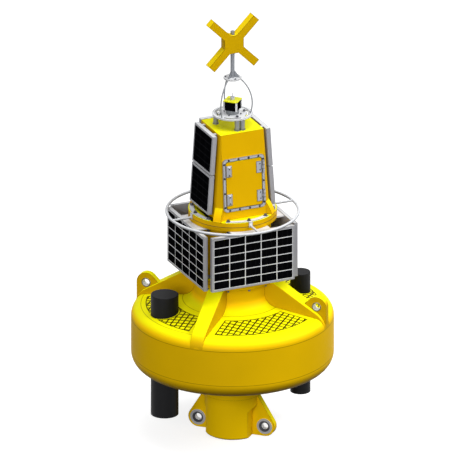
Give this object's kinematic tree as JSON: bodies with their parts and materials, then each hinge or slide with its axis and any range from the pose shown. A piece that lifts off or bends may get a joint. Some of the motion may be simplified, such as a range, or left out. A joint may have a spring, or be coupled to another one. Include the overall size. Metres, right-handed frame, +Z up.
{
  "type": "metocean buoy",
  "caption": "Round ribbed float with a tail tube and mooring fins, solar panels, an instrument tower with a hinged hatch, a guard ring and a cross topmark.",
  "frame": {"origin": "on the buoy's axis at the bottom of the tail tube", "axes": "+Z up along the axis, the hatch looks along -Y"},
  "size_m": [1.75, 1.75, 3.8418],
  "materials": {
    "hull_yellow": "moulded polyethylene, satin",
    "tower_yellow": "satin paint",
    "topmark_yellow": "satin",
    "lantern_yellow": "gloss",
    "black_pipe": "extruded, satin",
    "steel": "stainless, brushed",
    "panel_frame": "anodised, satin",
    "solar_cells": "black cells under glass",
    "lantern_cells": "black cells under a clear skin",
    "white_paint": "satin paint",
    "grey_plastic": "satin",
    "lantern_lens": "frosted",
    "gasket_rubber": "matt"
  },
  "bodies": {
    "buoy": {"hull": "hull_yellow", "hull_ribs": "hull_yellow", "tail_tube": "hull_yellow", "mooring_fins": "hull_yellow", "mooring_bushes": "steel", "lifting_bushes": "steel", "well_large": "black_pipe", "well_small": "black_pipe", "column": "tower_yellow", "deck_panel_front": "panel_frame", "deck_panel_right": "panel_frame", "deck_panel_back": "panel_frame", "deck_panel_left": "panel_frame", "deck_cells": "solar_cells", "deck_brackets_lower": "white_paint", "deck_brackets_upper": "white_paint", "tower": "tower_yellow", "hatch_frame": "steel", "hatch_gasket": "gasket_rubber", "hinge_frame_leaves": "steel", "tower_panel_right_upper": "panel_frame", "tower_panel_right_lower": "panel_frame", "tower_panel_back_upper": "panel_frame", "tower_panel_back_lower": "panel_frame", "tower_panel_left_upper": "panel_frame", "tower_panel_left_lower": "panel_frame", "tower_rails_right": "panel_frame", "tower_rails_back": "panel_frame", "tower_rails_left": "panel_frame", "tower_cells": "solar_cells", "guard_ring": "white_paint", "guard_straps": "white_paint", "top_standoffs": "steel", "top_plate": "white_paint", "lantern_base": "grey_plastic", "lantern_body": "lantern_cells", "lantern_posts": "white_paint", "lantern_lid": "lantern_yellow", "lantern_lens": "lantern_lens", "cage_rods": "white_paint", "cage_disc": "white_paint", "mast": "steel", "mast_gussets": "steel", "topmark": "topmark_yellow"},
    "door": {"hatch_door": "tower_yellow", "hinge_door_leaves": "steel", "hatch_latches": "steel"}
  },
  "joints": [
    {"name": "hatch_hinge", "type": "hinge", "parent": "buoy", "child": "door", "pos_m": [0.1835, -0.26009, 2.38863], "axis": [0, 0.0678, 0.9977], "range_deg": [0, 110]}
  ]
}
